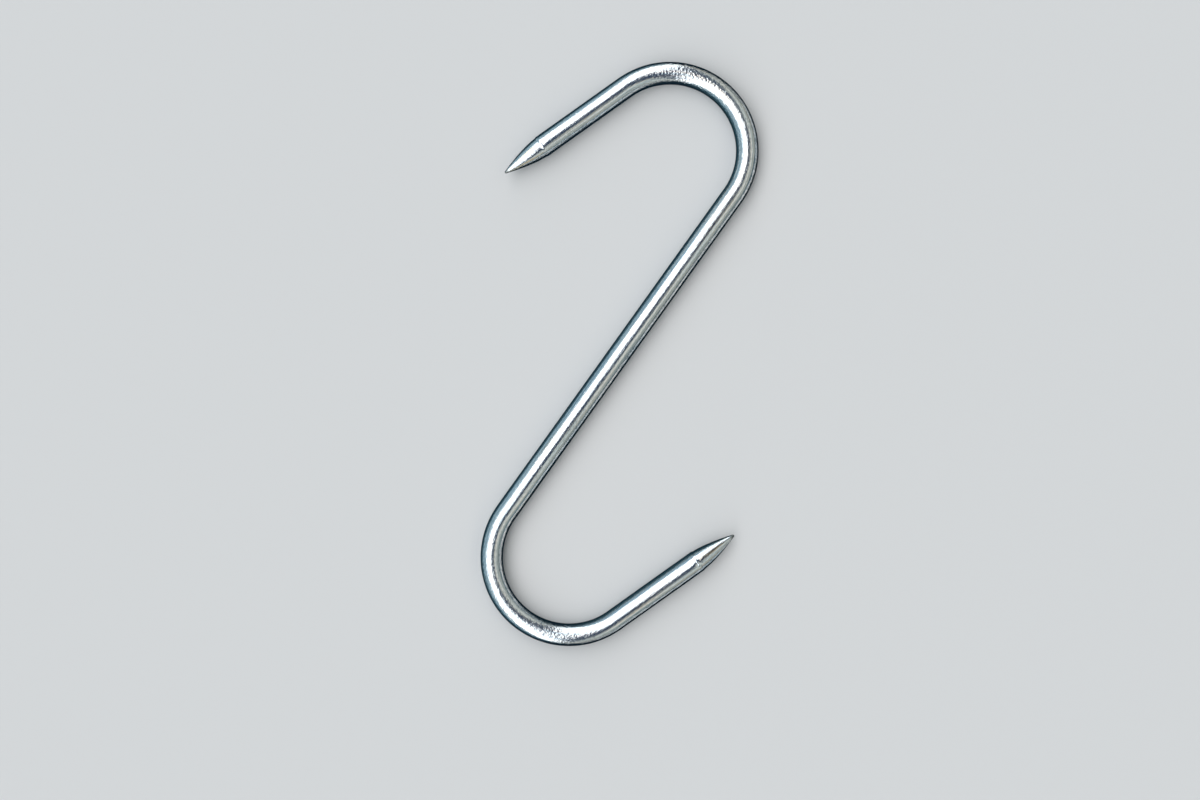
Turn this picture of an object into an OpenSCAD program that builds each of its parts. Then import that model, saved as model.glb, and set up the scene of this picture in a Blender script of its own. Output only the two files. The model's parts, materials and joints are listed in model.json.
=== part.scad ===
// S hook bent from one round steel rod, with both ends ground to a sharp point.
// It lies flat: the shank runs along Y, the upper bend is at +Y and the whole hook
// rests on the plane Z = 0. Millimetres.

/* [Rod] */
// Diameter of the round rod
wire_d = 6; // [4:0.5:8]
// Length of the straight shank between the two bends
shank_length = 103; // [40:1:200]
// Diameter that the rod loses where it is drawn round a bend
bend_thinning = 0.04; // [0.02:0.02:0.2]

/* [Upper bend] */
// Inside diameter of the upper bend
upper_bend_inner_d = 35; // [20:0.5:60]
// Angle that the rod turns through in the upper bend
upper_bend_angle = 161; // [120:1:175]
// Length of the upper arm, from the end of the bend to the tip of its point
upper_arm_length = 39; // [25:0.5:60]

/* [Lower bend] */
// Inside diameter of the lower bend
lower_bend_inner_d = 35; // [20:0.5:60]
// Angle that the rod turns through in the lower bend
lower_bend_angle = 161; // [120:1:175]
// Length of the lower arm, from the end of the bend to the tip of its point
lower_arm_length = 39; // [25:0.5:60]

/* [Points] */
// Length of the ground point at each end
point_length = 11.5; // [6:0.5:20]
// Shape of the ground point: 1 is a straight cone, 2 is a fully rounded nose
point_fullness = 1.5; // [1:0.05:2]
// Radius of the blunted tip
tip_radius = 0.35; // [0.1:0.05:1]
// Depth of the ground step where the point starts
grind_step = 0.15; // [0.05:0.05:0.5]

/* [Hidden] */

$fn = 96;
nose_steps = 20;
ball_steps = 5;
wire_r = wire_d / 2;
bend_wire_r = wire_r - bend_thinning / 2;
lap_angle = 0.2;
nose_r = wire_r - grind_step;
nose_slope = atan(point_fullness * (nose_r - tip_radius) / (point_length - tip_radius));
nose_end_r = tip_radius * cos(nose_slope);
nose_end_h = point_length - tip_radius + tip_radius * sin(nose_slope);

// Radius and height of the ground nose at a share s of its height
function nose_point(s) = [
    nose_end_r + (nose_r - nose_end_r) * (1 - pow(s, point_fullness)),
    nose_end_h * s
];

// Radius and height on the blunted tip at an angle above the tip's centre
function tip_point(a) = [
    tip_radius * cos(a),
    point_length - tip_radius + tip_radius * sin(a)
];

// A ground point standing on the end of the rod, along +Z
module ground_point() {
    rotate_extrude()
        polygon(concat(
            [[0, 0], [wire_r, 0], [nose_point(0).x, grind_step]],
            [for (i = [1 : nose_steps]) nose_point(i / nose_steps)],
            [for (i = [1 : ball_steps - 1]) tip_point(nose_slope + (90 - nose_slope) * i / ball_steps)],
            [[0, point_length]]
        ));
}

// One end of the hook: a bend that starts at the origin, heading along +Y and
// turning towards -X, then a straight arm with its ground point. The bend runs
// on into the shank and the arm by the lap angle, so that the rod is one solid
module hook_end(bend_inner_d, bend_angle, arm_length) {
    bend_r = bend_inner_d / 2 + bend_wire_r;
    straight_length = arm_length - point_length;
    translate([-bend_r, 0, 0]) {
        rotate([0, 0, -lap_angle])
            rotate_extrude(angle = bend_angle + 2 * lap_angle)
            translate([bend_r, 0]) circle(r = bend_wire_r);
        rotate([0, 0, bend_angle])
            translate([bend_r, 0, 0])
            rotate([-90, 0, 0]) {
                cylinder(d = wire_d, h = straight_length);
                translate([0, 0, straight_length]) ground_point();
            }
    }
}

// The straight rod between the two bends
module shank() {
    translate([0, shank_length / 2, 0])
        rotate([90, 0, 0])
        cylinder(d = wire_d, h = shank_length);
}

// The whole hook, lying on its side
module hook() {
    color([0.78, 0.81, 0.85])
        translate([0, 0, wire_r])
        union() {
            shank();
            translate([0, shank_length / 2, 0])
                hook_end(upper_bend_inner_d, upper_bend_angle, upper_arm_length);
            rotate([0, 0, 180])
                translate([0, shank_length / 2, 0])
                hook_end(lower_bend_inner_d, lower_bend_angle, lower_arm_length);
        }
}

hook();
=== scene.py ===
import json
import math

import bpy
from mathutils import Matrix, Vector, noise


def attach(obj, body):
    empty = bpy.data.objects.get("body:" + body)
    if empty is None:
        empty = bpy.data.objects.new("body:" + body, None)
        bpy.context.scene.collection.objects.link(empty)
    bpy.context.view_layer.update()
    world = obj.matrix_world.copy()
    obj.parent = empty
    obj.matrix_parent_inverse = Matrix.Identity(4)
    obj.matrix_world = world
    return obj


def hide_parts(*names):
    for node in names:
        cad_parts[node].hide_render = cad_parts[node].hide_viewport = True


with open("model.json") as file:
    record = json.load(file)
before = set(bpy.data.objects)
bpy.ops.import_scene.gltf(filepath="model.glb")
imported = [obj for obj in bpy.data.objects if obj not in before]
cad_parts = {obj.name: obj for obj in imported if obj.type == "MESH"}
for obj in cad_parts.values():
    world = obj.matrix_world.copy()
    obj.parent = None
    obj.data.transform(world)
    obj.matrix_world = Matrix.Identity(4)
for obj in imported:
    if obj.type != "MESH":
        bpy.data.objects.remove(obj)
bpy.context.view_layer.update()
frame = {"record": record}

# Sizes of the hook, in metres. The frame gives the rod, the reach of the bends and the arms' places
MOUNTS = {mount["name"]: mount for mount in frame["record"]["mounts"]}
ARM = MOUNTS["upper_arm"]
ROD_R = ARM["dims"]["r_mm"] / 1000
ARM_MIDDLE = Vector(ARM["pos_m"])
ARM_WAY = Vector(ARM["axis"])
ARM_STRAIGHT = ARM["dims"]["length_mm"] / 1000
RAIL_SEAT = Vector(MOUNTS["rail_seat"]["pos_m"])
BEND_THINNING = 0.00004
BEND_ROD_R = ROD_R - BEND_THINNING / 2
BEND_R = -RAIL_SEAT.x
BEND_TURN = math.pi - math.atan2(-ARM_WAY.x, -ARM_WAY.y)
BEND_LENGTH = BEND_R * BEND_TURN
SHANK_HALF = RAIL_SEAT.y + BEND_ROD_R - BEND_R
POINT_LENGTH = 0.0115
POINT_FULLNESS = 1.5
TIP_R = 0.00035
DULL_LENGTH = 2 * TIP_R
GRIND_STEP = 0.00015
ARM_LENGTH = ARM_STRAIGHT + POINT_LENGTH

# Long shallow waves in the rod: their depth, and how many there are to a metre
WAVE_DEPTH = 0.000014
WAVES_PER_M = 60

# The grinding's marks: their depth, how many there are to a metre, how much they change round the rod,
# and the length over which they fade out at the tip
GRIND_DEPTH = 0.000012
GRIND_MARKS_PER_M = 2600
GRIND_MARKS_ROUND = 0.8
GRIND_FADE = 4 * TIP_R

# The grinding's ragged start on the rod: its mean length, how far that varies, and how much round the rod
RAGGED_LENGTH = 0.0006
RAGGED_SPREAD = 0.0005
RAGGED_ROUND = 2.5

# A nick beside each point: its depth, its distance from the grinding, its half width along the rod and
# round it, and its place round the rod at the upper end, 1, and at the lower one, -1
NICK_DEPTH = 0.00014
NICK_DISTANCE = 0.0009
NICK_WIDTH = 0.00016
NICK_ARC = 0.22
NICK_TURN = {1: 1.35, -1: 1.75}

# What makes the wear of the two halves differ
HALF_SEED = 7.0

# How finely the rod's mesh is drawn: the sides of its rings, their pitch along each stretch, how far
# before the grinding the point's pitch starts, and the rings that close the tip
SIDES = 96
SHANK_PITCH = 0.0012
BEND_PITCH = 0.0007
ARM_PITCH = 0.0007
POINT_PITCH = 0.00011
POINT_LEAD = 0.001
TIP_RINGS = 6

# The photograph's frame, in pixels, and the hook's place in it
PHOTO_W = 1200
PHOTO_H = 800
HOOK_PX = Vector((619.5, 354.0))
PX_PER_M = 3780.0
SHANK_LEAN = math.atan2(0.582, 0.813)
LENS = 50.0
SENSOR = 36.0

# Colours of the plating: its streaks, its tint at a low angle, the warm stain on the ground points and
# the dull tips
TINTS = [
    (0.32, (0.56, 0.66, 0.72)),
    (0.48, (0.74, 0.80, 0.83)),
    (0.60, (0.80, 0.82, 0.82)),
    (0.72, (0.70, 0.68, 0.64)),
]
EDGE = (0.42, 0.55, 0.64)
WARM = (0.76, 0.64, 0.46)
DARK_TIP = (0.20, 0.22, 0.22)

# Where the warm stain sets in over its noise, and the roughness over the grain
WARM_STAIN = [(0.53, 0.0), (0.66, 1.0)]
SHINE = [(0.3, 0.07), (0.75, 0.17)]

# Marks in the finish: how each is scaled across and along the rod, how many there are to a metre, and
# its detail
GRAIN = ((1, 1, 0.5), 3000, 3)
PEEL = ((1, 1, 0.8), 1900, 2)
DRAW_LINES = ((1, 1, 0.02), 2600, 4)
GRIND_RINGS = ((0.05, 0.05, 1), 5200, 3)
STREAKS = ((1, 1, 0.035), 1500, 4)
WARMTH = ((1, 1, 0.06), 900, 2)
MARK_ROUGHNESS = 0.55

# Bumps in the finish: the strength and the height of each
LINE_BUMP = (0.5, 0.00006)
GRAIN_BUMP = (0.7, 0.00006)
PEEL_BUMP = (0.8, 0.00012)
RING_BUMP = (0.35, 0.00004)

# The studio: which side the key light stands on, in degrees from the picture's right, and the colour of
# what surrounds the hook at each angle from straight up, positive towards the key light
KEY_TOWARD = 172.0
KEY_GAIN = 2.4
NAVY = (0.03, 0.05, 0.095)
TEAL = (0.035, 0.08, 0.10)
BLACK = (0.008, 0.02, 0.03)
SKY = (0.36, 0.50, 0.58)
CREAM = (0.86, 0.86, 0.80)
BEIGE = (0.38, 0.39, 0.36)
WHITE = (1.0, 1.0, 1.0)
CARDS = [
    (-180, BLACK), (-114, BLACK), (-107, WHITE), (-100, WHITE), (-95, TEAL), (-84, TEAL),
    (-74, BEIGE), (-50, BEIGE), (-44, CREAM), (-37, CREAM), (-31, BEIGE), (-25, BEIGE),
    (-20, NAVY), (-3, NAVY), (3, WHITE), (45, WHITE), (54, SKY), (68, SKY),
    (74, TEAL), (80, SKY), (94, SKY), (102, TEAL), (180, BLACK),
]
KEY_GLOW = [(1, 0.0), (6, 1.0), (43, 1.0), (50, 0.0)]

# The floor and the wall behind it
PALE = (0.62, 0.63, 0.64)
FLOOR_HALF = 8.0
FLOOR_ROUGHNESS = 0.9

# Picture axes in the row frame: the shank leans to the right by SHANK_LEAN
RIGHT = Vector((math.cos(SHANK_LEAN), math.sin(SHANK_LEAN), 0))
UP = Vector((-math.sin(SHANK_LEAN), math.cos(SHANK_LEAN), 0))


def nose_radius(t):
    """Radius of the ground point at a distance t from the tip."""
    base_r = ROD_R - GRIND_STEP
    slope = math.atan(POINT_FULLNESS * (base_r - TIP_R) / (POINT_LENGTH - TIP_R))
    ball_t = TIP_R * (1 - math.sin(slope))
    if t < ball_t:
        return math.sqrt(max(0.0, TIP_R ** 2 - (TIP_R - t) ** 2))
    end_r = TIP_R * math.cos(slope)
    share = (POINT_LENGTH - t) / (POINT_LENGTH - ball_t)
    return end_r + (base_r - end_r) * (1 - share ** POINT_FULLNESS)


def centre_line(s):
    """Place, heading and rod radius on the upper half, at a distance s from the middle of the shank."""
    if s <= SHANK_HALF:
        return Vector((0, s, ROD_R)), Vector((0, 1, 0)), ROD_R
    if s < SHANK_HALF + BEND_LENGTH:
        a = (s - SHANK_HALF) / BEND_R
        place = Vector((BEND_R * (math.cos(a) - 1), SHANK_HALF + BEND_R * math.sin(a), ROD_R))
        return place, Vector((-math.sin(a), math.cos(a), 0)), BEND_ROD_R
    along = s - SHANK_HALF - BEND_LENGTH
    return ARM_MIDDLE + ARM_WAY * (along - ARM_STRAIGHT / 2), ARM_WAY, ROD_R


def steps(start, end, pitch):
    """Even steps from start towards end, without the end itself."""
    count = max(1, round((end - start) / pitch))
    return [start + (end - start) * i / count for i in range(count)]


def stations():
    """Distances of the mesh rings from the middle of the shank, and that of the tip."""
    bend_end = SHANK_HALF + BEND_LENGTH
    point_start = bend_end + ARM_STRAIGHT
    tip = bend_end + ARM_LENGTH
    out = steps(0, SHANK_HALF, SHANK_PITCH)
    out += steps(SHANK_HALF, bend_end, BEND_PITCH)
    out += steps(bend_end, point_start - POINT_LEAD, ARM_PITCH)
    out += steps(point_start - POINT_LEAD, tip - TIP_R, POINT_PITCH)
    out += [tip - TIP_R * (1 - math.sin(math.pi / 2 * i / TIP_RINGS)) for i in range(TIP_RINGS)]
    return out, tip


def wear(s, t, turn, side):
    """How far the surface lies under its true radius: the rod's waves, the grinding's ragged start and
    its marks, and a nick."""
    seed = HALF_SEED * side
    round_rod = Vector((math.cos(turn), math.sin(turn), 0))
    depth = WAVE_DEPTH * (1 + noise.noise(round_rod + Vector((0, 0, s * WAVES_PER_M + seed))))
    start = RAGGED_LENGTH + RAGGED_SPREAD * noise.noise(RAGGED_ROUND * round_rod + Vector((0, 0, seed)))
    if t < POINT_LENGTH:
        mark_place = GRIND_MARKS_ROUND * round_rod + Vector((0, 0, s * GRIND_MARKS_PER_M + seed))
        depth += min(1.0, t / GRIND_FADE) * GRIND_DEPTH * (1 + noise.noise(mark_place))
    elif t < POINT_LENGTH + start:
        share = 1 - (t - POINT_LENGTH) / start
        depth += GRIND_STEP * share * share * (3 - 2 * share)
    nick_along = (t - POINT_LENGTH - NICK_DISTANCE) / NICK_WIDTH
    nick_turn = math.remainder(turn - NICK_TURN[side], 2 * math.pi) / NICK_ARC
    depth += NICK_DEPTH * math.exp(-nick_along * nick_along - nick_turn * nick_turn)
    return depth


def ring(s, tip, side):
    """Points of one ring round the rod, with their place along and round it. side is 1 above, -1 below."""
    place, way, rod_r = centre_line(s)
    t = tip - s
    radius = nose_radius(t) if t < POINT_LENGTH else rod_r
    across = Vector((way.y, -way.x, 0))
    points = []
    for i in range(SIDES):
        turn = 2 * math.pi * i / SIDES
        # The lower half is the upper one turned round Z, so its rings start from the other side
        local = turn if side > 0 else math.pi - turn
        r = max(0.0, radius - wear(s, t, turn, side))
        p = place + r * (math.cos(local) * across + math.sin(local) * Vector((0, 0, 1)))
        rod = Vector((ROD_R * math.cos(turn), ROD_R * math.sin(turn), side * s))
        points.append((Vector((side * p.x, side * p.y, p.z)), rod, t))
    return points


def ground_mask(t):
    """1 on the ground point, 0 on the rod, by the distance from the tip."""
    return 1.0 if t < POINT_LENGTH else 0.0


def tip_mask(t):
    """1 on the blunted tip, fading to 0 along the point."""
    return min(1.0, max(0.0, 2 - t / DULL_LENGTH))


def bend_mask(t):
    """1 in the middle of a bend, where the plating is roughest, fading to 0 at its ends."""
    share = (t - ARM_LENGTH) / BEND_LENGTH
    return math.sin(math.pi * share) ** 0.5 if 0 < share < 1 else 0.0


def rod_mesh():
    """The whole rod as one closed mesh, from the lower tip to the upper one."""
    half, tip = stations()
    rings = [ring(s, tip, -1) for s in reversed(half[1:])]
    rings += [ring(s, tip, 1) for s in half]
    tip_place = centre_line(tip)[0]
    lower_tip = Vector((-tip_place.x, -tip_place.y, ROD_R))
    verts = [p for r in rings for p, _, _ in r] + [lower_tip, tip_place]
    rods = [rod for r in rings for _, rod, _ in r]
    rods += [Vector((0, 0, -tip)), Vector((0, 0, tip))]
    ends = [t for r in rings for _, _, t in r] + [0.0, 0.0]
    faces = []
    for k in range(len(rings) - 1):
        for i in range(SIDES):
            j = (i + 1) % SIDES
            a, b = k * SIDES, (k + 1) * SIDES
            faces.append((a + i, a + j, b + j, b + i))
    last = (len(rings) - 1) * SIDES
    for i in range(SIDES):
        j = (i + 1) % SIDES
        faces.append((len(verts) - 2, j, i))
        faces.append((last + i, last + j, len(verts) - 1))
    mesh = bpy.data.meshes.new("hook_rod")
    mesh.from_pydata(verts, [], faces)
    mesh.shade_smooth()
    rod_place = mesh.attributes.new("rod_place", "FLOAT_VECTOR", "POINT")
    rod_place.data.foreach_set("vector", [c for r in rods for c in r])
    for name, mask in (("ground", ground_mask), ("tip", tip_mask), ("bend", bend_mask)):
        layer = mesh.attributes.new(name, "FLOAT", "POINT")
        layer.data.foreach_set("value", [mask(t) for t in ends])
    mesh.validate()
    return mesh


def greys(stops):
    """Stops of (place, value) as the stops of a grey ramp."""
    return [(place, (value, value, value)) for place, value in stops]


def ramp(tree, value, stops):
    """A colour ramp over a value, with stops of (place, colour)."""
    node = tree.nodes.new("ShaderNodeValToRGB")
    while len(node.color_ramp.elements) < len(stops):
        node.color_ramp.elements.new(0.5)
    for element, (place, colour) in zip(node.color_ramp.elements, stops):
        element.position = place
        element.color = (*colour, 1)
    tree.links.new(value, node.inputs["Fac"])
    return node.outputs["Color"]


def attribute(tree, name, output):
    """One of the mesh's own layers."""
    node = tree.nodes.new("ShaderNodeAttribute")
    node.attribute_name = name
    return node.outputs[output]


def marks(tree, rod, kind):
    """The noise of one kind of mark, over the place along and round the rod."""
    scale, per_m, detail = kind
    stretched = tree.nodes.new("ShaderNodeMapping")
    stretched.inputs["Scale"].default_value = scale
    tree.links.new(rod, stretched.inputs["Vector"])
    node = tree.nodes.new("ShaderNodeTexNoise")
    node.inputs["Scale"].default_value = per_m
    node.inputs["Detail"].default_value = detail
    node.inputs["Roughness"].default_value = MARK_ROUGHNESS
    tree.links.new(stretched.outputs["Vector"], node.inputs["Vector"])
    return node.outputs["Fac"]


def times(tree, a, b):
    """The product of two values."""
    node = tree.nodes.new("ShaderNodeMath")
    node.operation = "MULTIPLY"
    tree.links.new(a, node.inputs[0])
    tree.links.new(b, node.inputs[1])
    return node.outputs["Value"]


def blend_colour(tree, share, under, over):
    """The colour under, turned into the fixed colour over by share."""
    node = tree.nodes.new("ShaderNodeMixRGB")
    node.inputs["Color2"].default_value = (*over, 1)
    tree.links.new(share, node.inputs["Fac"])
    tree.links.new(under, node.inputs["Color1"])
    return node.outputs["Color"]


def bump(tree, height, size, under=None):
    """The normal of a bump of a (strength, height) size, stacked on another normal."""
    node = tree.nodes.new("ShaderNodeBump")
    node.inputs["Strength"].default_value, node.inputs["Distance"].default_value = size
    tree.links.new(height, node.inputs["Height"])
    if under is not None:
        tree.links.new(under, node.inputs["Normal"])
    return node.outputs["Normal"]


def zinc():
    """Bright zinc plating on drawn steel: long draw lines, fine grain, and grinding marks at the points."""
    material = bpy.data.materials.new("zinc_plate")
    material.use_nodes = True
    tree = material.node_tree
    shader = tree.nodes["Principled BSDF"]
    shader.inputs["Metallic"].default_value = 1.0
    shader.inputs["Specular Tint"].default_value = (*EDGE, 1)
    rod = attribute(tree, "rod_place", "Vector")
    ground = attribute(tree, "ground", "Fac")
    tip = attribute(tree, "tip", "Fac")
    bend = attribute(tree, "bend", "Fac")
    grain = marks(tree, rod, GRAIN)
    peel = marks(tree, rod, PEEL)
    lines = marks(tree, rod, DRAW_LINES)
    rings = marks(tree, rod, GRIND_RINGS)
    streaks = marks(tree, rod, STREAKS)
    warmth = marks(tree, rod, WARMTH)

    warm_share = times(tree, ramp(tree, warmth, greys(WARM_STAIN)), ground)
    warmed = blend_colour(tree, warm_share, ramp(tree, streaks, TINTS), WARM)
    tree.links.new(blend_colour(tree, tip, warmed, DARK_TIP), shader.inputs["Base Color"])
    tree.links.new(ramp(tree, grain, greys(SHINE)), shader.inputs["Roughness"])

    normal = bump(tree, lines, LINE_BUMP)
    normal = bump(tree, grain, GRAIN_BUMP, normal)
    normal = bump(tree, times(tree, peel, bend), PEEL_BUMP, normal)
    normal = bump(tree, times(tree, rings, ground), RING_BUMP, normal)
    tree.links.new(normal, shader.inputs["Normal"])
    return material


def hook():
    """The hook's detailed rod, in the place of the CAD solid."""
    piece = bpy.data.objects.new("hook_rod", rod_mesh())
    bpy.context.scene.collection.objects.link(piece)
    piece.data.materials.append(zinc())
    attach(piece, "root")
    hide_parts("hook")


def floor():
    """A plain pale floor, which the hook lies on and doesn't reflect."""
    mesh = bpy.data.meshes.new("floor")
    corners = [
        (-FLOOR_HALF, -FLOOR_HALF, 0),
        (FLOOR_HALF, -FLOOR_HALF, 0),
        (FLOOR_HALF, FLOOR_HALF, 0),
        (-FLOOR_HALF, FLOOR_HALF, 0),
    ]
    mesh.from_pydata(corners, [], [(0, 1, 2, 3)])
    piece = bpy.data.objects.new("floor", mesh)
    bpy.context.scene.collection.objects.link(piece)
    material = bpy.data.materials.new("floor_paper")
    material.use_nodes = True
    shader = material.node_tree.nodes["Principled BSDF"]
    shader.inputs["Base Color"].default_value = (*PALE, 1)
    shader.inputs["Roughness"].default_value = FLOOR_ROUGHNESS
    piece.data.materials.append(material)
    piece.visible_glossy = False


def photo_place(px):
    """The point of the picture plane under a pixel of the photograph, in the row frame."""
    offset = (px - HOOK_PX) / PX_PER_M
    return RIGHT * offset.x - UP * offset.y


def camera():
    """Straight down, with the photograph's frame."""
    data = bpy.data.cameras.new("camera")
    data.lens = LENS
    data.sensor_width = SENSOR
    width = PHOTO_W / PX_PER_M
    place = photo_place(Vector((PHOTO_W / 2, PHOTO_H / 2))) + Vector((0, 0, ROD_R + width * LENS / SENSOR))
    piece = bpy.data.objects.new("camera", data)
    piece.matrix_world = Matrix.Translation(place) @ Matrix.Rotation(SHANK_LEAN, 4, "Z")
    bpy.context.scene.collection.objects.link(piece)
    bpy.context.scene.camera = piece


def round_studio(stops):
    """Stops at degrees from straight up, as places on a ramp that runs once round the studio."""
    return [((degrees + 180) / 360, colour) for degrees, colour in stops]


def studio_share(tree):
    """How far round the studio a direction lies: from straight down, up past the side away from the key
    light, and down again past the key light."""
    around = tree.nodes.new("ShaderNodeTexCoord").outputs["Generated"]
    key_side = tree.nodes.new("ShaderNodeVectorMath")
    key_side.operation = "DOT_PRODUCT"
    toward = math.radians(KEY_TOWARD)
    key_side.inputs[1].default_value = RIGHT * math.cos(toward) + UP * math.sin(toward)
    tree.links.new(around, key_side.inputs[0])
    split = tree.nodes.new("ShaderNodeSeparateXYZ")
    tree.links.new(around, split.inputs["Vector"])
    angle = tree.nodes.new("ShaderNodeMath")
    angle.operation = "ARCTAN2"
    tree.links.new(key_side.outputs["Value"], angle.inputs[0])
    tree.links.new(split.outputs["Z"], angle.inputs[1])
    share = tree.nodes.new("ShaderNodeMapRange")
    share.inputs["From Min"].default_value = -math.pi
    share.inputs["From Max"].default_value = math.pi
    tree.links.new(angle.outputs["Value"], share.inputs["Value"])
    return share.outputs["Result"]


def lights():
    """A soft studio all round: each band of the surroundings is a card or light that runs along the
    picture, set by its angle from straight up, towards the key light's side or away from it. Past the
    floor's edge the camera itself sees a plain pale wall."""
    world = bpy.data.worlds.new("studio")
    world.use_nodes = True
    tree = world.node_tree
    share = studio_share(tree)
    strength = tree.nodes.new("ShaderNodeMath")
    strength.operation = "MULTIPLY_ADD"
    strength.inputs[1].default_value = KEY_GAIN - 1
    strength.inputs[2].default_value = 1.0
    tree.links.new(ramp(tree, share, round_studio(greys(KEY_GLOW))), strength.inputs[0])
    bands = tree.nodes["Background"]
    tree.links.new(ramp(tree, share, round_studio(CARDS)), bands.inputs["Color"])
    tree.links.new(strength.outputs["Value"], bands.inputs["Strength"])
    wall = tree.nodes.new("ShaderNodeBackground")
    wall.inputs["Color"].default_value = (*PALE, 1)
    seen = tree.nodes.new("ShaderNodeLightPath")
    shown = tree.nodes.new("ShaderNodeMixShader")
    tree.links.new(seen.outputs["Is Camera Ray"], shown.inputs["Fac"])
    tree.links.new(bands.outputs["Background"], shown.inputs[1])
    tree.links.new(wall.outputs["Background"], shown.inputs[2])
    tree.links.new(shown.outputs["Shader"], tree.nodes["World Output"].inputs["Surface"])
    bpy.context.scene.world = world
    bpy.context.scene.view_settings.view_transform = "Standard"


hook()
floor()
camera()
lights()
